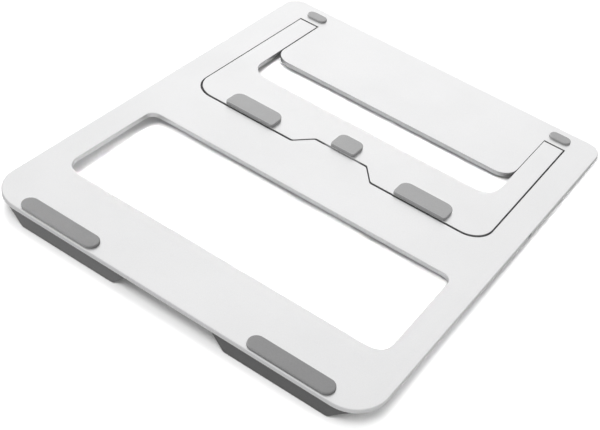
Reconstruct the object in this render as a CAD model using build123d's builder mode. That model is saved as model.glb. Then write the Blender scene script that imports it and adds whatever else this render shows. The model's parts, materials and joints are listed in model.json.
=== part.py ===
"""Folding plate laptop stand, folded flat, desk side up, standing on its stops.

Millimetres. X runs across the stand, Y from the front edge to the rear, Z up.
The stand leans: its stops carry the front of the plate and its laptop-side pads
the rear, all on Z = 0. Every piece is drawn on the plate's own leaning planes.
"""

import os
from math import atan2, cos, degrees, sin

from build123d import *

os.makedirs("parts", exist_ok=True)

# ---------------------------------------------------------------- dimensions
# plate
T = 3.0  # sheet thickness of the deck plate and of the leg
DEPTH = 271.0  # front edge to rear edge
FRONT_HALF = 113.1  # half width at the front edge
REAR_HALF = 116.1  # half width at the rear edge
R_FRONT, R_REAR = 19.0, 9.0  # outer corner radii
EDGE_R = 0.5  # rounding of the outer and window edges
POCKET_EDGE_R = 0.25  # rounding of the pocket and leg edges

# front window
WIN_HALF, WIN_Y0, WIN_Y1 = 98.1, 39.05, 106.7
WIN_R_FRONT, WIN_R_REAR = 8.5, 5.2  # corner radii

# leg and its pocket
FRONT_GAP = 1.5  # gap in front of the cross-bar
SLOPE_GAP = 0.85  # gap along the slopes of the tab
OUTER_GAP = 0.7  # gap outside the arms
INNER_GAP = 0.5  # gap between the arms and the tongue
LEG_X = -0.2  # the leg lies to the left in its side play
U_HALF = 97.8  # middle of the gap outside the arms
ARM_IN = 84.2  # middle of the gap between arms and tongue
U_FRONT = 140.9  # middle of the gap in front of the cross-bar
BAR_REAR = 179.6  # rear edge of the cross-bar
TONGUE_FRONT = 203.0  # front edge of the tongue
ARM_END = 251.65  # square end of the arms
END_GAP = 0.95  # gap behind the arm ends
R_LEG = 13.1  # front corners of the leg
R_POCKET = 13.4  # front corners of the pocket
R_BAR = 11.4  # inner corners between cross-bar and arms
R_TONGUE = 10.4  # front corners of the tongue

# notch and tab at the middle of the cross-bar, along the middle of the gap
TAB_BASE, TAB_TOP, TAB_Y = 26.5, 17.5, 151.6
TAB_R = 2.0

# closed stop: a thin ledge of the tab under the notch
LEDGE_HALF, LEDGE_T, LEDGE_OUT = 12.0, 0.9, 2.3

# hinge
AXIS_IN = 1.4  # axis to arm end
PIN_R = 0.75
PIN_IN, PIN_OUT = 88.5, 108.0  # pin ends, from the middle
RUN = 0.03  # running clearance of the pin in the arm
END_ROUND = 0.8  # rounding of the arm ends
WASHER_PLAY = 0.12

# catch
CATCH_Y, CATCH_L, CATCH_H = 167.4, 4.4, 1.6
CATCH_DEEP = 99.2  # inner end of the slot in the rail
KEEPER_DEEP = 91.3

# pads
FRONT_PAD = (68.9, 5.6, 47.5, 9.2, 1.5)  # x, y, length, width, height proud
REAR_PAD = (90.8, 260.7, 13.9, 7.1, 1.4)
LAPTOP_PAD = (68.9, 261.3, 47.6, 9.2, 1.2)
RECESS = 0.6  # depth of the pad recesses
FOOT_X0, FOOT_X1, FOOT_DEEP, FOOT_H = 40.8, 74.1, 12.6, 2.2
FOOT_PROUD = 0.1  # of the front edge, so that the pads meet the desk first
FOOT_R_FRONT, FOOT_R_REAR = 1.6, 5.2  # corner radii
MID_HALF, MID_DEEP = 8.0, 13.1
MID_R_FRONT, MID_R_REAR = 1.6, 4.2

# stops
STOP_X = 63.2  # middle of a stop
STOP_TOP, STOP_BOTTOM = 41.3, 29.5  # half lengths at the plate and at the tip
STOP_Y, STOP_THICK, STOP_H = 3.2, 6.0, 12.4
STOP_R = 2.5  # rounded tips
SKIN = 1.0  # sleeve thickness
SCREW_DX = 15.0  # screws either side of a stop's middle
SCREW_R, HEAD_R = 0.97, 1.85

# ---------------------------------------------------------------- the leaning frame
stop_mid = STOP_Y + STOP_THICK / 2
lean = atan2(STOP_H - LAPTOP_PAD[4], LAPTOP_PAD[1] - stop_mid)
c, s = cos(lean), sin(lean)
Z0 = stop_mid * s + (T + STOP_H) * c
Y0 = -(DEPTH * c - T * s) / 2
# plane of the desk-side face: origin at the middle of the front edge
deck = Plane(origin=(0, Y0, Z0), x_dir=(1, 0, 0), z_dir=(0, s, c))
# the same plane for the leg, moved by its side play
swing = Plane(origin=(LEG_X, Y0, Z0), x_dir=(1, 0, 0), z_dir=(0, s, c))
AXIS_Y, AXIS_Z = ARM_END - AXIS_IN, -T / 2


def at(x, y, z):
    """Point of the plate's frame in the row frame."""
    return deck.from_local_coords(Vector(x, y, z))


def across(x, y, z, side):
    """Plane square to the plate's width, facing outwards on the given side."""
    return Plane(origin=at(x, y, z), x_dir=deck.y_dir, z_dir=(side, 0, 0))


def facing(y):
    """Plane of a front view: X across, its own Y up the plate's normal."""
    return Plane(origin=at(0, y, 0), x_dir=(1, 0, 0), z_dir=-deck.y_dir)


def local(edge):
    return deck.to_local_coords(edge.center())


def rim(edge):
    """True for an edge that lies in the desk-side or the laptop-side face."""
    z = local(edge).Z
    pts = [deck.to_local_coords(edge @ t).Z for t in (0.0, 0.5, 1.0)]
    flat = max(pts) - min(pts) < 1e-3
    return flat and (abs(z) < 1e-3 or abs(z + T) < 1e-3)


half = FRONT_GAP / 2
slope = (TAB_BASE - TAB_TOP) / (TAB_Y - U_FRONT)
side_shift = SLOPE_GAP / 2 * (1 + slope**2) ** 0.5


def tab_x(y, shift):
    """Half width of the tab's middle line at y, moved sideways by shift."""
    return TAB_BASE - slope * (y - U_FRONT) + shift


# ---------------------------------------------------------------- deck plate
pocket_front = U_FRONT - half
pocket_rear = ARM_END + END_GAP
pocket_half = U_HALF + OUTER_GAP / 2
tongue_half = ARM_IN - INNER_GAP / 2
with BuildPart() as deck_plate:
    with BuildSketch(deck) as outline:
        with BuildLine():
            Polyline(
                (-FRONT_HALF, 0),
                (FRONT_HALF, 0),
                (REAR_HALF, DEPTH),
                (-REAR_HALF, DEPTH),
                close=True,
            )
        make_face()
        front_corners = [v for v in outline.vertices() if abs(v.Y) < 1]
        fillet(front_corners, R_FRONT)
        rear_corners = [v for v in outline.vertices() if abs(v.Y - DEPTH) < 1e-6]
        fillet(rear_corners, R_REAR)
    extrude(amount=-T)
    with BuildSketch(deck) as window:
        with Locations((0, (WIN_Y0 + WIN_Y1) / 2)):
            Rectangle(2 * WIN_HALF, WIN_Y1 - WIN_Y0)
        fillet([v for v in window.vertices() if abs(v.Y - WIN_Y0) < 0.1], WIN_R_FRONT)
        fillet([v for v in window.vertices() if abs(v.Y - WIN_Y1) < 0.1], WIN_R_REAR)
    extrude(amount=-T, mode=Mode.SUBTRACT)
    # U-shaped pocket: front wall with the tab, two long arms, the tongue between them
    with BuildSketch(deck) as pocket:
        with BuildLine():
            Polyline(
                (-pocket_half, pocket_front),
                (-tab_x(pocket_front, -side_shift), pocket_front),
                (-tab_x(TAB_Y - half, -side_shift), TAB_Y - half),
                (tab_x(TAB_Y - half, -side_shift), TAB_Y - half),
                (tab_x(pocket_front, -side_shift), pocket_front),
                (pocket_half, pocket_front),
                (pocket_half, pocket_rear),
                (tongue_half, pocket_rear),
                (tongue_half, TONGUE_FRONT),
                (-tongue_half, TONGUE_FRONT),
                (-tongue_half, pocket_rear),
                (-pocket_half, pocket_rear),
                close=True,
            )
        make_face()
        fillet([v for v in pocket.vertices() if v.Y < pocket_front + 0.1 and abs(v.X) > 90], R_POCKET)
        fillet([v for v in pocket.vertices() if abs(v.Y - TONGUE_FRONT) < 0.1], R_TONGUE)
        fillet([v for v in pocket.vertices() if abs(v.X) < 40 and v.Y < TAB_Y + 1], TAB_R)
    extrude(amount=-T, mode=Mode.SUBTRACT)
    # soft edges
    rims = [e for e in deck_plate.edges() if rim(e)]
    inner = [e for e in rims if abs(local(e).X) < 99 and 139 < local(e).Y < 253]
    outer = [e for e in rims if not (abs(local(e).X) < 99 and 139 < local(e).Y < 253)]
    fillet(outer, EDGE_R)
    inner = [
        e
        for e in deck_plate.edges()
        if rim(e) and abs(local(e).X) < 99 and 139 < local(e).Y < 253
    ]
    fillet(inner, POCKET_EDGE_R)
    # ledge of the tab that the closed leg rests on
    with BuildSketch(deck.offset(-T)):
        with Locations((0, TAB_Y - half - 1.0 + (LEDGE_OUT + 1.0) / 2)):
            Rectangle(2 * LEDGE_HALF, LEDGE_OUT + 1.0)
    extrude(amount=LEDGE_T)
    # recesses of the pads, desk side
    for x, y, length, width, _ in (FRONT_PAD, REAR_PAD):
        with BuildSketch(deck):
            with Locations((-x, y), (x, y)):
                SlotOverall(length + 0.2, width + 0.2)
        extrude(amount=-RECESS, mode=Mode.SUBTRACT)
    # recesses of the pads, laptop side
    with BuildSketch(deck.offset(-T)):
        with Locations((-LAPTOP_PAD[0], LAPTOP_PAD[1]), (LAPTOP_PAD[0], LAPTOP_PAD[1])):
            SlotOverall(LAPTOP_PAD[2] + 0.2, LAPTOP_PAD[3] + 0.2)
    extrude(amount=RECESS, mode=Mode.SUBTRACT)
    # countersunk holes of the stop screws, in the floors of the front recesses
    screw_xy = [
        (m * STOP_X + d, stop_mid) for m in (-1, 1) for d in (-SCREW_DX, SCREW_DX)
    ]
    with BuildSketch(deck):
        with Locations(*screw_xy):
            Circle(SCREW_R + 0.13)
    extrude(amount=-T, mode=Mode.SUBTRACT)
    for x, y in screw_xy:
        with BuildSketch(Plane(origin=at(x, y, -RECESS), x_dir=(1, 0, 0), z_dir=deck.z_dir)):
            Circle(HEAD_R + 0.1)
        with BuildSketch(Plane(origin=at(x, y, -RECESS - 0.85), x_dir=(1, 0, 0), z_dir=deck.z_dir)):
            Circle(SCREW_R + 0.13)
        loft(mode=Mode.SUBTRACT)
    # bores of the hinge pins and slots of the catch magnets, from the side edges
    for side in (-1, 1):
        with BuildSketch(across(side * (pocket_half - 1), AXIS_Y, AXIS_Z, side)):
            Circle(PIN_R + 0.01)
        extrude(amount=24, mode=Mode.SUBTRACT)
        with BuildSketch(across(side * CATCH_DEEP, CATCH_Y, AXIS_Z, side)):
            SlotOverall(CATCH_L + 0.1, CATCH_H + 0.1)
        extrude(amount=22, mode=Mode.SUBTRACT)
deck_plate.part.label = "deck_plate"
export_step(deck_plate.part, "parts/deck_plate.step")

# ---------------------------------------------------------------- leg
leg_front = U_FRONT + half
leg_half = U_HALF - OUTER_GAP / 2
arm_in = ARM_IN + INNER_GAP / 2
notch_y = TAB_Y + half
with BuildPart() as leg_frame:
    with BuildSketch(swing) as u_shape:
        with BuildLine():
            Polyline(
                (-leg_half, leg_front),
                (-tab_x(leg_front, side_shift), leg_front),
                (-tab_x(notch_y, side_shift), notch_y),
                (tab_x(notch_y, side_shift), notch_y),
                (tab_x(leg_front, side_shift), leg_front),
                (leg_half, leg_front),
                (leg_half, ARM_END),
                (arm_in, ARM_END),
                (arm_in, BAR_REAR),
                (-arm_in, BAR_REAR),
                (-arm_in, ARM_END),
                (-leg_half, ARM_END),
                close=True,
            )
        make_face()
        fillet([v for v in u_shape.vertices() if v.Y < leg_front + 0.1 and abs(v.X) > 90], R_LEG)
        fillet([v for v in u_shape.vertices() if abs(v.Y - BAR_REAR) < 0.1], R_BAR)
        fillet([v for v in u_shape.vertices() if abs(v.X) < 40 and v.Y < TAB_Y + 1], TAB_R)
    extrude(amount=-T)
    # arm ends rounded about the hinge
    fillet([e for e in leg_frame.edges() if rim(e) and abs(local(e).Y - ARM_END) < 1e-3], END_ROUND)
    # soft edges
    fillet([e for e in leg_frame.edges() if rim(e)], POCKET_EDGE_R)
    for side in (-1, 1):
        # pin bore in the arm end and keeper slot in the side of the leg
        with BuildSketch(across(side * (PIN_IN - 0.5), AXIS_Y, AXIS_Z, side)):
            Circle(PIN_R + RUN)
        extrude(amount=12, mode=Mode.SUBTRACT)
        with BuildSketch(across(side * KEEPER_DEEP, CATCH_Y, AXIS_Z, side)):
            SlotOverall(CATCH_L + 0.1, CATCH_H + 0.1)
        extrude(amount=8, mode=Mode.SUBTRACT)
    # step in the laptop side that lies on the tab's ledge
    with BuildSketch(swing.offset(-T)):
        with Locations((0, notch_y - 0.5 + 1.4)):
            Rectangle(2 * LEDGE_HALF + 1.2, 2.8)
    extrude(amount=LEDGE_T + 0.2, mode=Mode.SUBTRACT)
leg_frame.part.label = "leg_frame"
export_step(leg_frame.part, "parts/leg_frame.step")

# ---------------------------------------------------------------- pads on the leg
for name, side in (("left", -1), ("right", 1)):
    with BuildPart() as foot_pad:
        mid = side * (FOOT_X0 + FOOT_X1) / 2
        with BuildSketch(swing) as pad:
            with Locations((mid, leg_front + (FOOT_DEEP - FOOT_PROUD) / 2)):
                Rectangle(FOOT_X1 - FOOT_X0, FOOT_DEEP + FOOT_PROUD)
            fillet(pad.vertices().sort_by(Axis.Y)[:2], FOOT_R_FRONT)
            fillet(pad.vertices().sort_by(Axis.Y)[-2:], FOOT_R_REAR)
        extrude(amount=FOOT_H)
        fillet(foot_pad.edges().filter_by(lambda e: abs(local(e).Z - FOOT_H) < 1e-3), 0.5)
    foot_pad.part.label = "foot_pad_" + name
    export_step(foot_pad.part, "parts/foot_pad_" + name + ".step")

with BuildPart() as leg_centre_pad:
    with BuildSketch(swing) as pad:
        with Locations((0, notch_y + MID_DEEP / 2)):
            Rectangle(2 * MID_HALF, MID_DEEP)
        fillet(pad.vertices().sort_by(Axis.Y)[:2], MID_R_FRONT)
        fillet(pad.vertices().sort_by(Axis.Y)[-2:], MID_R_REAR)
    extrude(amount=FOOT_H)
    fillet(leg_centre_pad.edges().filter_by(lambda e: abs(local(e).Z - FOOT_H) < 1e-3), 0.5)
leg_centre_pad.part.label = "leg_centre_pad"
export_step(leg_centre_pad.part, "parts/leg_centre_pad.step")

# ---------------------------------------------------------------- paired small pieces
for name, side in (("left", -1), ("right", 1)):
    # pads of the desk side
    for label, (x, y, length, width, proud) in (("front_pad_", FRONT_PAD), ("rear_pad_", REAR_PAD)):
        with BuildPart() as pad:
            with BuildSketch(deck.offset(-RECESS)):
                with Locations((side * x, y)):
                    SlotOverall(length, width)
            extrude(amount=RECESS + proud)
            fillet(pad.edges().filter_by(lambda e: abs(local(e).Z - proud) < 1e-3), 0.6)
        pad.part.label = label + name
        export_step(pad.part, "parts/" + label + name + ".step")

    # pad of the laptop side, its face cut level where it stands on the table
    x, y, length, width, proud = LAPTOP_PAD
    with BuildPart() as laptop_pad:
        with BuildSketch(deck.offset(-T + RECESS)):
            with Locations((side * x, y)):
                SlotOverall(length, width)
        extrude(amount=-(RECESS + proud + 1.0))
        split(bisect_by=Plane.XY, keep=Keep.TOP)
    laptop_pad.part.label = "laptop_pad_" + name
    export_step(laptop_pad.part, "parts/laptop_pad_" + name + ".step")

    # metal core of the stop, tapped for its two screws
    lean_in = (STOP_TOP - STOP_BOTTOM) / STOP_H
    with BuildPart() as stop_core:
        core_h = STOP_H - 2.4
        with BuildSketch(facing(STOP_Y + SKIN)) as prof:
            with BuildLine():
                a, b = STOP_TOP - 3.2, STOP_TOP - 3.2 - lean_in * core_h
                m = side * STOP_X
                Polyline((m - a, -T), (m + a, -T), (m + b, -T - core_h), (m - b, -T - core_h), close=True)
            make_face()
            fillet([v for v in prof.vertices() if v.Y < -T - 1], 2.5)
        extrude(amount=-(STOP_THICK - 2 * SKIN))
        with BuildSketch(deck.offset(-T)):
            with Locations((side * STOP_X - SCREW_DX, stop_mid), (side * STOP_X + SCREW_DX, stop_mid)):
                Circle(SCREW_R + 0.03)
        extrude(amount=-7.0, mode=Mode.SUBTRACT)
    stop_core.part.label = "stop_core_" + name
    export_step(stop_core.part, "parts/stop_core_" + name + ".step")

    # silicone sleeve over the core, its tip cut level
    with BuildPart() as stop_sleeve:
        with BuildSketch(facing(STOP_Y)) as prof:
            with BuildLine():
                low = STOP_H + 0.6
                a, b = STOP_TOP, STOP_TOP - lean_in * low
                m = side * STOP_X
                Polyline((m - a, -T), (m + a, -T), (m + b, -T - low), (m - b, -T - low), close=True)
            make_face()
            fillet([v for v in prof.vertices() if v.Y < -T - 1], STOP_R)
        extrude(amount=-STOP_THICK)
        with BuildSketch(facing(STOP_Y + SKIN - 0.03)) as cavity:
            with BuildLine():
                a, b = STOP_TOP - 3.17, STOP_TOP - 3.17 - lean_in * (core_h + 0.05)
                Polyline(
                    (m - a, -T), (m + a, -T), (m + b, -T - core_h - 0.05), (m - b, -T - core_h - 0.05), close=True
                )
            make_face()
            fillet([v for v in cavity.vertices() if v.Y < -T - 1], 2.4)
        extrude(amount=-(STOP_THICK - 2 * SKIN + 0.06), mode=Mode.SUBTRACT)
        split(bisect_by=Plane.XY, keep=Keep.TOP)
    stop_sleeve.part.label = "stop_sleeve_" + name
    export_step(stop_sleeve.part, "parts/stop_sleeve_" + name + ".step")

    # hinge pin, fast in the rail and running in the arm, and the plug behind it
    with BuildPart() as hinge_pin:
        with BuildSketch(across(side * PIN_IN, AXIS_Y, AXIS_Z, side)):
            Circle(PIN_R)
        extrude(amount=PIN_OUT - PIN_IN)
        chamfer(hinge_pin.edges(), 0.2)
    hinge_pin.part.label = "hinge_pin_" + name
    export_step(hinge_pin.part, "parts/hinge_pin_" + name + ".step")

    rail_edge = FRONT_HALF + (REAR_HALF - FRONT_HALF) * AXIS_Y / DEPTH
    with BuildPart() as pin_plug:
        with BuildSketch(across(side * (PIN_OUT + 0.2), AXIS_Y, AXIS_Z, side)):
            Circle(PIN_R)
        extrude(amount=rail_edge - 0.05 - PIN_OUT - 0.2)
    pin_plug.part.label = "pin_plug_" + name
    export_step(pin_plug.part, "parts/pin_plug_" + name + ".step")

    # nylon washer between arm and rail, nearly as thick as its gap
    leg_edge = leg_half + side * LEG_X
    with BuildPart() as hinge_washer:
        with BuildSketch(across(side * leg_edge, AXIS_Y, AXIS_Z, side)):
            Circle(1.25)
            Circle(PIN_R + 0.05, mode=Mode.SUBTRACT)
        extrude(amount=pocket_half - leg_edge - WASHER_PLAY)
    hinge_washer.part.label = "hinge_washer_" + name
    export_step(hinge_washer.part, "parts/hinge_washer_" + name + ".step")

    # bar magnet of the catch, set back a little from the side edge, and its keeper in the leg
    catch_edge = FRONT_HALF + (REAR_HALF - FRONT_HALF) * CATCH_Y / DEPTH
    with BuildPart() as catch_magnet:
        with BuildSketch(across(side * (CATCH_DEEP + 0.05), CATCH_Y, AXIS_Z, side)):
            SlotOverall(CATCH_L, CATCH_H)
        extrude(amount=catch_edge - 0.15 - CATCH_DEEP)
    catch_magnet.part.label = "catch_magnet_" + name
    export_step(catch_magnet.part, "parts/catch_magnet_" + name + ".step")

    with BuildPart() as catch_keeper:
        with BuildSketch(across(side * (KEEPER_DEEP + 0.05), CATCH_Y, AXIS_Z, side)):
            SlotOverall(CATCH_L, CATCH_H)
        extrude(amount=leg_edge - KEEPER_DEEP - 0.1)
    catch_keeper.part.label = "catch_keeper_" + name
    export_step(catch_keeper.part, "parts/catch_keeper_" + name + ".step")

# ---------------------------------------------------------------- stop screws
with BuildPart() as stop_screws:
    for x, y in screw_xy:
        with BuildSketch(Plane(origin=at(x, y, -RECESS - 0.05), x_dir=(1, 0, 0), z_dir=deck.z_dir)):
            Circle(HEAD_R)
        with BuildSketch(Plane(origin=at(x, y, -RECESS - 0.9), x_dir=(1, 0, 0), z_dir=deck.z_dir)):
            Circle(SCREW_R)
        loft()
        with BuildSketch(Plane(origin=at(x, y, -RECESS - 0.9), x_dir=(1, 0, 0), z_dir=deck.z_dir)):
            Circle(SCREW_R)
        extrude(amount=-(T + 6.5 - RECESS - 0.9))
        with BuildSketch(Plane(origin=at(x, y, -RECESS - 0.05), x_dir=(1, 0, 0), z_dir=deck.z_dir)):
            RegularPolygon(0.75, 6)
        extrude(amount=-0.55, mode=Mode.SUBTRACT)
stop_screws.part.label = "stop_screws"
export_step(stop_screws.part, "parts/stop_screws.step")

# ---------------------------------------------------------------- figures for the record
print("lean %.4f deg" % degrees(lean), "Y0 %.4f Z0 %.4f" % (Y0, Z0))
print("hinge", at(0, AXIS_Y, AXIS_Z))
for label, p in (
    ("window front", at(0, WIN_Y0, 0)),
    ("window rear", at(0, WIN_Y1, 0)),
    ("bar rear", at(0, BAR_REAR, 0)),
    ("tongue front", at(0, TONGUE_FRONT, 0)),
    ("stop", at(STOP_X, stop_mid, -T - STOP_H)),
    ("laptop pad", at(LAPTOP_PAD[0], LAPTOP_PAD[1], -T - LAPTOP_PAD[4])),
):
    print(label, p)
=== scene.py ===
import json
from math import atan2, cos, pi, radians, sin, tan

import bmesh
import bpy
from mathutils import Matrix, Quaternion, Vector

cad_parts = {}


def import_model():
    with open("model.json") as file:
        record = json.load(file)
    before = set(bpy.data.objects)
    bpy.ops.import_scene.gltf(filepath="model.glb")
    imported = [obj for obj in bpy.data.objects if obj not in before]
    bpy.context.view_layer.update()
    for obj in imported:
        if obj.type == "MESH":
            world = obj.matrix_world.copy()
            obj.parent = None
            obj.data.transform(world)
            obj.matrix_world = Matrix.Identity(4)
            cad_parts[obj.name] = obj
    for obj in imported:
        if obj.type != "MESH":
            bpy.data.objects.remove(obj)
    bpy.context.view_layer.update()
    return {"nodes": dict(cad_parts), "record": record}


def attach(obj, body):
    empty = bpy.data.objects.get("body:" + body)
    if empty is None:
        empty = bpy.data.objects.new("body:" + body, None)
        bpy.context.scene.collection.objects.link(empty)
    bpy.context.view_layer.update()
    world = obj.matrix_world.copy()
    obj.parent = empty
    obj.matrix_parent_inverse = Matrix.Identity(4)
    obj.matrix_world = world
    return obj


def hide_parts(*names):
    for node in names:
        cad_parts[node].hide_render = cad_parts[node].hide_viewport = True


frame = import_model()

scene = bpy.context.scene
nodes = frame["nodes"]

# ------------------------------------------------------------------ the leaning plate's own frame
# Millimetres: x across, y from the front edge to the rear, z out of the desk side.
# The sheet lies between z = 0 and z = -3.
C, S = 0.9990375951, 0.0438620975
Y0, Z0 = -135.3038010, 15.6571240


def world(p):
    """Point of the plate's frame, in metres of the row frame."""
    x, y, z = p
    return Vector((x, Y0 + y * C + z * S, Z0 - y * S + z * C)) / 1000.0


def table_z(y):
    """Height in the plate's frame of the table top under the plate at y."""
    return (y * S - Z0) / C


# ------------------------------------------------------------------ materials
def material(name):
    m = bpy.data.materials.new(name)
    m.use_nodes = True
    t = m.node_tree
    return m, t, t.nodes["Principled BSDF"]


def link(tree, a, out, b, into):
    tree.links.new(a.outputs[out], b.inputs[into])


def noise(tree, scale, detail=3.0, rough=0.55, coords=None, distortion=0.0):
    n = tree.nodes.new("ShaderNodeTexNoise")
    n.inputs["Scale"].default_value = scale
    n.inputs["Detail"].default_value = detail
    n.inputs["Roughness"].default_value = rough
    n.inputs["Distortion"].default_value = distortion
    if coords is None:
        coords = tree.nodes.new("ShaderNodeTexCoord")
        link(tree, coords, "Object", n, "Vector")
    else:
        tree.links.new(coords, n.inputs["Vector"])
    return n


def stretched(tree, scale):
    """Object coordinates scaled per axis, for a grain with a direction."""
    co = tree.nodes.new("ShaderNodeTexCoord")
    mp = tree.nodes.new("ShaderNodeMapping")
    mp.inputs["Scale"].default_value = scale
    link(tree, co, "Object", mp, "Vector")
    return mp.outputs["Vector"]


def ramp(tree, source, stops, out="Fac"):
    r = tree.nodes.new("ShaderNodeValToRGB")
    e = r.color_ramp.elements
    while len(e) < len(stops):
        e.new(0.5)
    for el, (pos, col) in zip(e, stops):
        el.position = pos
        el.color = (*col, 1.0) if isinstance(col, tuple) else (col, col, col, 1.0)
    tree.links.new(source.outputs[out], r.inputs["Fac"])
    return r


def mixed(tree, a, b, factor, kind="MIX"):
    m = tree.nodes.new("ShaderNodeMix")
    m.data_type = "RGBA"
    m.blend_type = kind
    if isinstance(factor, float):
        m.inputs["Factor"].default_value = factor
    else:
        tree.links.new(factor, m.inputs["Factor"])
    for value, socket in ((a, m.inputs["A"]), (b, m.inputs["B"])):
        if isinstance(value, tuple):
            socket.default_value = value
        else:
            tree.links.new(value, socket)
    return m.outputs["Result"]


def bumps(tree, shader, layers):
    """Chains bump nodes; layers are (source node, output, strength, distance in metres)."""
    last = None
    for source, out, strength, distance in layers:
        b = tree.nodes.new("ShaderNodeBump")
        b.inputs["Strength"].default_value = strength
        b.inputs["Distance"].default_value = distance
        tree.links.new(source.outputs[out], b.inputs["Height"])
        if last is not None:
            link(tree, last, "Normal", b, "Normal")
        last = b
    link(tree, last, "Normal", shader, "Normal")


def shade(v):
    return (v, v, v * 1.004)


def anodised():
    """Bead-blasted, silver anodised aluminium: a fine even grain with faint cloudiness."""
    m, t, p = material("anodised_aluminium")
    p.inputs["Metallic"].default_value = 1.0
    grain = noise(t, 3600.0, 2.0, 0.6)
    cloud = noise(t, 26.0, 3.0, 0.5)
    tone = ramp(t, grain, [(0.30, shade(0.800)), (0.70, shade(0.862))])
    veil = ramp(t, cloud, [(0.35, 0.975), (0.65, 1.0)])
    colour = mixed(t, tone.outputs["Color"], veil.outputs["Color"], 1.0, "MULTIPLY")
    t.links.new(colour, p.inputs["Base Color"])
    speck = noise(t, 1500.0, 4.0, 0.6)
    rough = ramp(t, speck, [(0.3, 0.36), (0.7, 0.44)])
    link(t, rough, "Color", p, "Roughness")
    bumps(t, p, [(grain, "Fac", 0.25, 0.00002), (speck, "Fac", 0.12, 0.00003)])
    return m


def milled():
    m, t, p = material("bare_aluminium")
    p.inputs["Metallic"].default_value = 1.0
    lines = noise(t, 1.0, 3.0, 0.6, stretched(t, (120.0, 4200.0, 4200.0)))
    tone = ramp(t, lines, [(0.3, (0.68, 0.69, 0.70)), (0.7, (0.78, 0.79, 0.80))])
    link(t, tone, "Color", p, "Base Color")
    rough = ramp(t, lines, [(0.3, 0.28), (0.7, 0.42)])
    link(t, rough, "Color", p, "Roughness")
    bumps(t, p, [(lines, "Fac", 0.3, 0.00003)])
    return m


def ground_steel():
    m, t, p = material("steel")
    p.inputs["Metallic"].default_value = 1.0
    lines = noise(t, 1.0, 4.0, 0.65, stretched(t, (300.0, 6000.0, 6000.0)))
    patches = noise(t, 420.0, 3.0, 0.5)
    tone = ramp(t, patches, [(0.3, (0.49, 0.50, 0.51)), (0.7, (0.58, 0.59, 0.60))])
    link(t, tone, "Color", p, "Base Color")
    rough = ramp(t, lines, [(0.3, 0.22), (0.7, 0.40)])
    link(t, rough, "Color", p, "Roughness")
    bumps(t, p, [(lines, "Fac", 0.35, 0.00002)])
    return m


def magnet_coat_painted_shade():
    """Epoxy coat of the magnets, made near black as painted shade for the dark slot they sit in at the right
    edge: an orange-peel skin, faintly mottled.
    """
    m, t, p = material("coated_magnet")
    mottle = noise(t, 900.0, 4.0, 0.6)
    peel = noise(t, 2600.0, 2.0, 0.5)
    # near-black tone: painted shade standing in for the shadow inside the magnet slot
    tone = ramp(t, mottle, [(0.3, (0.012, 0.012, 0.013)), (0.7, (0.026, 0.026, 0.027))])
    link(t, tone, "Color", p, "Base Color")
    rough = ramp(t, mottle, [(0.3, 0.44), (0.7, 0.62)])
    link(t, rough, "Color", p, "Roughness")
    p.inputs["Specular IOR Level"].default_value = 0.15
    bumps(t, p, [(peel, "Fac", 0.25, 0.00003)])
    return m


def nylon():
    m, t, p = material("nylon")
    grain = noise(t, 2600.0, 4.0, 0.6)
    tone = ramp(t, grain, [(0.3, (0.038, 0.038, 0.039)), (0.7, (0.06, 0.06, 0.061))])
    link(t, tone, "Color", p, "Base Color")
    rough = ramp(t, grain, [(0.3, 0.42), (0.7, 0.58)])
    link(t, rough, "Color", p, "Roughness")
    bumps(t, p, [(grain, "Fac", 0.2, 0.00003)])
    return m


def silicone(name, low, high, rough_low, rough_high):
    """Matte moulded silicone: fine etched grain, soft clouding and a few specks of dust."""
    m, t, p = material(name)
    p.inputs["Specular IOR Level"].default_value = 0.38
    p.inputs["Sheen Weight"].default_value = 0.06
    p.inputs["Sheen Roughness"].default_value = 0.5
    grain = noise(t, 2400.0, 3.0, 0.62)
    cloud = noise(t, 90.0, 4.0, 0.55)
    dust = noise(t, 5200.0, 1.0, 0.5)
    tone = ramp(t, grain, [(0.30, shade(low)), (0.70, shade(high))])
    veil = ramp(t, cloud, [(0.35, 0.955), (0.65, 1.0)])
    colour = mixed(t, tone.outputs["Color"], veil.outputs["Color"], 1.0, "MULTIPLY")
    fleck = ramp(t, dust, [(0.74, 0.0), (0.80, 0.10)])
    colour = mixed(t, colour, (0.6, 0.6, 0.6, 1.0), fleck.outputs["Color"])
    t.links.new(colour, p.inputs["Base Color"])
    rough = ramp(t, cloud, [(0.3, rough_low), (0.7, rough_high)])
    link(t, rough, "Color", p, "Roughness")
    bumps(t, p, [(grain, "Fac", 0.35, 0.00004), (cloud, "Fac", 0.10, 0.0001)])
    return m


finishes = {
    "anodised_aluminium": anodised(),
    "bare_aluminium": milled(),
    "steel": ground_steel(),
    "coated_magnet": magnet_coat_painted_shade(),
    "nylon": nylon(),
    "dark_silicone": silicone("dark_silicone", 0.068, 0.094, 0.62, 0.74),
    "grey_silicone": silicone("grey_silicone", 0.162, 0.198, 0.60, 0.72),
    "light_silicone": silicone("light_silicone", 0.244, 0.294, 0.60, 0.72),
}

for row in frame["record"]["subparts"]:
    node = nodes[row["node"]]
    finish = finishes[row["material_slot"]]
    if not node.material_slots:
        node.data.materials.append(finish)
    for s in node.material_slots:
        s.material = finish


# ------------------------------------------------------------------ moulded pieces
def piece(name, build, slot, body, *stands_for):
    """Makes a mesh from build(bm), which adds geometry in the plate's frame."""
    mesh = bpy.data.meshes.new(name)
    bm = bmesh.new()
    build(bm)
    bmesh.ops.recalc_face_normals(bm, faces=bm.faces)
    for v in bm.verts:
        v.co = world(v.co)
    bm.to_mesh(mesh)
    bm.free()
    for f in mesh.polygons:
        f.use_smooth = True
    mesh.materials.append(finishes[slot])
    o = bpy.data.objects.new(name, mesh)
    scene.collection.objects.link(o)
    smooth = o.modifiers.new("even_normals", "WEIGHTED_NORMAL")
    smooth.keep_sharp = True
    smooth.weight = 60
    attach(o, body)
    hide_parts(*stands_for)
    return o


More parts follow.
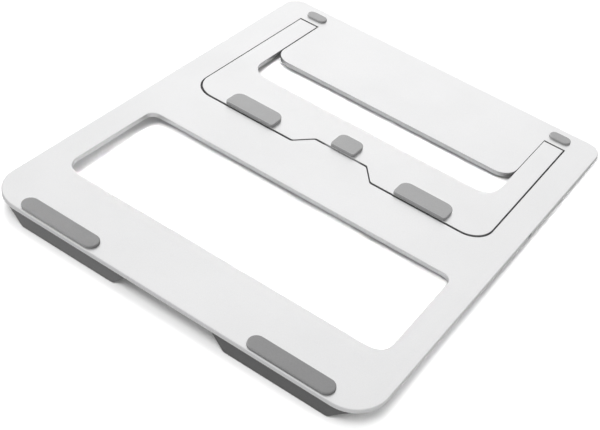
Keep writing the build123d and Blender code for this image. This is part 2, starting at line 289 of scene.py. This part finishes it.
def loft(bm, rings, cap_low=True, cap_high=True):
    """Skins closed rings of equal length with quads."""
    loops = [[bm.verts.new(p) for p in r] for r in rings]
    n = len(loops[0])
    for a, b in zip(loops, loops[1:]):
        for i in range(n):
            j = (i + 1) % n
            bm.faces.new((a[i], a[j], b[j], b[i]))
    if cap_low:
        bm.faces.new(list(reversed(loops[0])))
    if cap_high:
        bm.faces.new(loops[-1])
    return loops


def arc(r, n=5):
    """(inset, height) of a quarter round that turns a wall into a top."""
    return [(r * (1 - cos(pi / 2 * k / n)), r * sin(pi / 2 * k / n)) for k in range(n + 1)]


def obround(cx, cy, length, width, inset, z, ends=14, run=12):
    """Closed ring of points round a straight slot shape."""
    r, h = width / 2 - inset, (length - width) / 2
    pts = []
    for side in (1, -1):
        for k in range(ends + 1):
            a = side * pi / 2 * (2 * k / ends - 1) if side > 0 else pi / 2 + pi * k / ends
            pts.append((cx + side * h + r * cos(a), cy + r * sin(a), z))
        for k in range(1, run):
            x = side * h * (1 - 2 * k / run)
            pts.append((cx + x, cy + side * r, z))
    return pts


def rounded(x0, x1, y0, y1, front, rear, inset, z, corner=9, run=8):
    """Closed ring round a rectangle with its own front and rear corner radii."""
    x0, x1, y0, y1 = x0 + inset, x1 - inset, y0 + inset, y1 - inset
    rf, rr = max(front - inset, 0.06), max(rear - inset, 0.06)
    corners = [
        (x1 - rf, y0 + rf, rf, -pi / 2),
        (x1 - rr, y1 - rr, rr, 0.0),
        (x0 + rr, y1 - rr, rr, pi / 2),
        (x0 + rf, y0 + rf, rf, pi),
    ]
    pts = []
    for i, (cx, cy, r, a0) in enumerate(corners):
        for k in range(corner + 1):
            a = a0 + pi / 2 * k / corner
            pts.append((cx + r * cos(a), cy + r * sin(a), z))
        nx, ny, nr, na = corners[(i + 1) % 4]
        px, py, _ = pts[-1]
        qx, qy = nx + nr * cos(na), ny + nr * sin(na)
        for k in range(1, run):
            pts.append((px + (qx - px) * k / run, py + (qy - py) * k / run, z))
    return pts


def shrunk(ring, cx, cy, f, z):
    return [(cx + (x - cx) * f, cy + (y - cy) * f, z) for x, y, _ in ring]


# long and short pads of the deck: slot shapes seated in their recesses, with a rounded rim
def slot_pad(cx, cy, length, width, floor, top, rim, crown):
    """floor, top: heights of the seat and of the wearing face; top > floor."""

    def build(bm):
        w = width
        rings = [obround(cx, cy, length, w, 0.25, floor), obround(cx, cy, length, w, 0.0, floor + 0.25)]
        base = top - crown - rim
        for k in (0.4, 0.8):
            rings.append(obround(cx, cy, length, w, 0.0, floor + 0.25 + (base - floor - 0.25) * k))
        for d, h in arc(rim):
            rings.append(obround(cx, cy, length, w, d, base + h))
        for f in (0.18, 0.4, 0.65, 0.85, 0.97):
            d = rim + (w / 2 - rim) * f
            rings.append(obround(cx, cy, length, w, d, top - crown * (1 - f) ** 2))
        loft(bm, rings)

    return build


FRONT = (68.9, 5.6, 47.5, 9.2)
REAR = (90.8, 260.7, 13.9, 7.1)
for tag, side in (("left", -1), ("right", 1)):
    x, y, l, w = FRONT
    piece("front_cushion_" + tag, slot_pad(side * x, y, l, w, -0.6, 1.5, 0.55, 0.07), "grey_silicone", "deck", "front_pad_" + tag)
    x, y, l, w = REAR
    piece("rear_cushion_" + tag, slot_pad(side * x, y, l, w, -0.6, 1.4, 0.55, 0.08), "light_silicone", "deck", "rear_pad_" + tag)


# pads of the laptop side at the rear, worn level where they stand
def level_pad(cx, cy, length, width, seat, rim):
    def build(bm):
        def low(ring, lift):
            return [(x, y, table_z(y) + lift) for x, y, _ in ring]

        rings = [obround(cx, cy, length, width, 0.2, seat), obround(cx, cy, length, width, 0.0, seat - 0.2)]
        rings.append(obround(cx, cy, length, width, 0.0, -3.0))
        for d, h in arc(rim):
            rings.append(low(obround(cx, cy, length, width, d, 0), rim - h))
        for d in (1.4, 2.6, 4.0):
            rings.append(low(obround(cx, cy, length, width, d, 0), 0.0))
        loft(bm, rings)

    return build


for tag, side in (("left", -1), ("right", 1)):
    piece("laptop_cushion_" + tag, level_pad(side * 68.9, 261.3, 47.6, 9.2, -2.4, 0.4), "grey_silicone", "deck", "laptop_pad_" + tag)


# pads of the leg: thick tiles along the front edge of the cross-bar
LEG_X, LEG_FRONT, NOTCH = -0.2, 141.65, 152.35


def tile(x0, x1, y0, y1, front, rear, height, rim, crown):
    def build(bm):
        cx, cy = (x0 + x1) / 2, (y0 + y1) / 2
        base = height - crown - rim
        rings = [
            rounded(x0, x1, y0, y1, front, rear, 0.12, 0.0),
            rounded(x0, x1, y0, y1, front, rear, 0.0, 0.12),
            rounded(x0, x1, y0, y1, front, rear, 0.0, base * 0.55),
        ]
        for d, h in arc(rim):
            rings.append(rounded(x0, x1, y0, y1, front, rear, d, base + h))
        last = rings[-1]
        for f in (0.93, 0.82, 0.66, 0.45, 0.22, 0.05):
            rings.append(shrunk(last, cx, cy, f, height - crown * f * f))
        loft(bm, rings)

    return build


for tag, side in (("left", -1), ("right", 1)):
    a, b = sorted((LEG_X + side * 40.8, LEG_X + side * 74.1))
    piece(
        "foot_cushion_" + tag,
        tile(a, b, LEG_FRONT - 0.1, LEG_FRONT + 12.6, 1.6, 5.2, 2.2, 0.4, 0.06),
        "light_silicone",
        "leg",
        "foot_pad_" + tag,
    )
piece(
    "centre_cushion",
    tile(LEG_X - 8.0, LEG_X + 8.0, NOTCH, NOTCH + 13.1, 1.6, 4.2, 2.2, 0.4, 0.06),
    "light_silicone",
    "leg",
    "leg_centre_pad",
)

# sleeves of the stops: socks with sloping ends over the metal bars, open against the plate
STOP_X, TOP_HALF, TIP_HALF, STOP_H = 63.2, 41.3, 29.5, 12.4
FRONT_Y, BACK_Y, SKIN = 3.2, 9.2, 1.0
SLOPE = (TOP_HALF - TIP_HALF) / STOP_H


def sock_line(m, inset, y, radius, tip_lift=0.0, steps=10):
    """Points of a sleeve outline at y: down the left end, along the tip, up the right end."""
    k = (1 + SLOPE**2) ** 0.5
    low = table_z(y) + inset + tip_lift
    top_half = TOP_HALF - inset * k
    tip_half = top_half - SLOPE * (-3.0 - low)
    # corner between a sloping end and the tip, rounded with the given radius
    bend = atan2(1.0, SLOPE)  # angle of the end above the tip line
    reach = radius * tan(bend / 2)
    ux, uz = -SLOPE / k, 1.0 / k  # up the left end
    pts = [(m - top_half, y, -3.0)]
    sx, sz = -tip_half + ux * reach, low + uz * reach
    for f in (0.33, 0.67):
        pts.append((m - top_half + (sx + top_half) * f, y, -3.0 + (sz + 3.0) * f))
    cx, cz = -tip_half + reach, low + radius
    a0 = pi + (pi / 2 - bend)
    for i in range(steps + 1):
        a = a0 + bend * i / steps
        pts.append((m + cx + radius * cos(a), y, cz + radius * sin(a)))
    right = [(2 * m - x, yy, z) for x, yy, z in reversed(pts)]
    span = right[0][0] - pts[-1][0]
    mid = [(pts[-1][0] + span * f / 10, y, low) for f in range(1, 10)]
    return pts + mid + right


def sock(m):
    def build(bm):
        rim = 0.55
        outer = [(d, FRONT_Y + rim - h) for d, h in reversed(arc(rim, 4))]
        outer += [(0.0, FRONT_Y + 2.0), (0.0, BACK_Y - 2.0)]
        outer += [(d, BACK_Y - rim + h) for d, h in arc(rim, 4)]
        a, b = FRONT_Y + SKIN, BACK_Y - SKIN
        span = BACK_Y - FRONT_Y
        inner = [(2.2 + d * 0.2, a + (y - FRONT_Y) * (b - a) / span) for d, y in outer]
        shells = []
        for lines, radius, lift in ((outer, 2.5, 0.0), (inner, 1.6, 0.08)):
            shells.append([[bm.verts.new(p) for p in sock_line(m, d, y, radius, lift)] for d, y in lines])
        for shell in shells:
            for p, q in zip(shell, shell[1:]):
                for i in range(len(p) - 1):
                    bm.faces.new((p[i], p[i + 1], q[i + 1], q[i]))
            bm.faces.new(shell[0])
            bm.faces.new(shell[-1])
        # lip between the outside and the cavity, against the plate
        loops = []
        for shell in shells:
            loop = [r[0] for r in shell] + [r[-1] for r in reversed(shell)]
            loops.append(loop)
        n = len(loops[0])
        for i in range(n):
            j = (i + 1) % n
            bm.faces.new((loops[0][i], loops[0][j], loops[1][j], loops[1][i]))

    return build


for tag, side in (("left", -1), ("right", 1)):
    piece("stop_sock_" + tag, sock(side * STOP_X), "dark_silicone", "deck", "stop_sleeve_" + tag)

# ------------------------------------------------------------------ studio
scene.view_settings.view_transform = "Standard"


def floor_material(name, value):
    m, t, p = material(name)
    p.inputs["Specular IOR Level"].default_value = 0.0
    n = noise(t, 3.0, 2.0, 0.5)
    r = ramp(t, n, [(0.3, value * 0.985), (0.7, value)])
    link(t, r, "Color", p, "Base Color")
    p.inputs["Roughness"].default_value = 0.9
    return m


def plane(name, half, z, mat):
    mesh = bpy.data.meshes.new(name)
    mesh.from_pydata([(-half, -half, z), (half, -half, z), (half, half, z), (-half, half, z)], [], [(0, 1, 2, 3)])
    mesh.materials.append(mat)
    o = bpy.data.objects.new(name, mesh)
    scene.collection.objects.link(o)
    return o


floor = plane("floor", 6.0, -0.0001, floor_material("floor_white", 0.82))
floor.visible_glossy = False
# a dimmer sheet that only mirror-like light sees, so that the sheet's edges stay readable on white
sheen_floor = plane("floor_in_reflections", 6.0, -0.00005, floor_material("floor_grey", 0.36))
sheen_floor.visible_camera = False
sheen_floor.visible_diffuse = False
sheen_floor.visible_transmission = False
sheen_floor.visible_shadow = False

# pale surroundings: soft glows all round the stand, brightest behind it
sky = bpy.data.worlds.new("studio")
scene.world = sky
sky.use_nodes = True
t = sky.node_tree
bg = t.nodes["Background"]
bg.inputs["Color"].default_value = (1.0, 1.0, 1.0, 1.0)
co = t.nodes.new("ShaderNodeTexCoord")


def sky_math(kind, a, b):
    n = t.nodes.new("ShaderNodeMath")
    n.operation = kind
    for value, socket in ((a, n.inputs[0]), (b, n.inputs[1])):
        if isinstance(value, float):
            socket.default_value = value
        else:
            t.links.new(value, socket)
    return n.outputs[0]


total = None
for towards, spread, strength in (
    ((-0.50, 0.80, 0.25), 3.0, 0.59),
    ((-0.10, 1.00, 0.25), 3.0, 0.665),
    ((0.0, -1.0, 0.30), 2.0, 0.90),
    ((1.0, 0.0, 0.30), 2.0, 0.70),
    ((-1.0, 0.0, 0.30), 2.0, 0.55),
    ((0.0, 0.0, 1.0), 4.0, 0.70),
):
    dot = t.nodes.new("ShaderNodeVectorMath")
    dot.operation = "DOT_PRODUCT"
    dot.inputs[1].default_value = Vector(towards).normalized()
    link(t, co, "Generated", dot, 0)
    glow = sky_math("POWER", sky_math("MAXIMUM", dot.outputs["Value"], 0.0), spread)
    glow = sky_math("MULTIPLY", glow, strength)
    total = glow if total is None else sky_math("ADD", total, glow)
t.links.new(total, bg.inputs["Strength"])


def softbox(name, place, target, size, power, spread=180.0):
    d = bpy.data.lights.new(name, "AREA")
    d.shape = "RECTANGLE"
    d.size, d.size_y = size
    d.energy = power
    d.spread = radians(spread)
    o = bpy.data.objects.new(name, d)
    scene.collection.objects.link(o)
    o.location = place
    o.rotation_euler = (Vector(target) - Vector(place)).to_track_quat("-Z", "Y").to_euler()
    o.visible_glossy = False  # the metal mirrors the even surroundings, not the lamps
    return o


# the stand and the floor have lamps of their own: the stand's go past the floor, the floor's past the stand
ground = bpy.data.collections.new("ground")
not_ground = bpy.data.collections.new("not_ground")
for sheet in (floor, sheen_floor):
    ground.objects.link(sheet)
    not_ground.objects.link(sheet)
for entry in not_ground.collection_objects:
    entry.light_linking.link_state = "EXCLUDE"
for lamp in (
    softbox("front_left", (-0.45, -0.40, 0.75), (0, 0, 0), (0.5, 0.5), 4.75),
    softbox("rear_left", (-0.50, 0.40, 0.80), (0, 0, 0), (0.5, 0.5), 2.0),
    softbox("left_fill", (-1.10, 0.10, 0.30), (0, 0, 0), (0.6, 0.6), 10.2),
    softbox("left_stop", (-0.20, -0.45, 0.12), (-0.063, -0.132, 0.006), (0.10, 0.024), 0.0048, 10.0),
):
    lamp.light_linking.receiver_collection = not_ground
# most of the floor's lamps carry grids and light only what shows through the openings
for lamp in (
    softbox("floor_overhead", (-0.04, -0.05, 1.09), (0, 0, 0), (0.4, 0.4), 4.6),
    softbox("floor_front_high", (0.13, -0.50, 0.97), (0, 0, 0), (0.3, 0.3), 6.2),
    softbox("floor_window", (0.0, -0.329, 0.359), (0, -0.058, 0), (0.21, 0.061), 0.052, 4.0),
    softbox("floor_window_left", (-0.026, -0.062, 0.446), (-0.08, -0.062, 0), (0.074, 0.066), 0.016, 4.0),
    softbox("floor_window_right", (0.145, -0.062, 0.390), (-0.08, -0.062, 0), (0.074, 0.056), 0.0036, 4.0),
    softbox("floor_slot", (0.0, -0.231, 0.345), (0, 0.058, 0), (0.17, 0.023), 0.0166, 4.0),
):
    lamp.light_linking.receiver_collection = ground
# and one lights the strip beside the right edge, unseen in that edge
strip = bpy.data.collections.new("strip")
strip.objects.link(floor)
lamp = softbox("floor_right", (0.404, -0.01, 0.345), (0.115, -0.01, 0), (0.30, 0.038), 0.0065, 6.0)
lamp.light_linking.receiver_collection = strip

# ------------------------------------------------------------------ camera
cam = bpy.data.cameras.new("camera")
cam.sensor_fit = "HORIZONTAL"
cam.sensor_width = 36.0
cam.lens = 62.358878
cam.shift_x, cam.shift_y = -0.15, 0.06
cam.clip_start, cam.clip_end = 0.01, 50.0
eye = bpy.data.objects.new("camera", cam)
eye.location = (0.209487, -0.387704, 0.385052)
eye.rotation_mode = "QUATERNION"
eye.rotation_quaternion = Quaternion((0.87750492, 0.38676376, 0.03115621, 0.28183011))
scene.collection.objects.link(eye)
scene.camera = eye
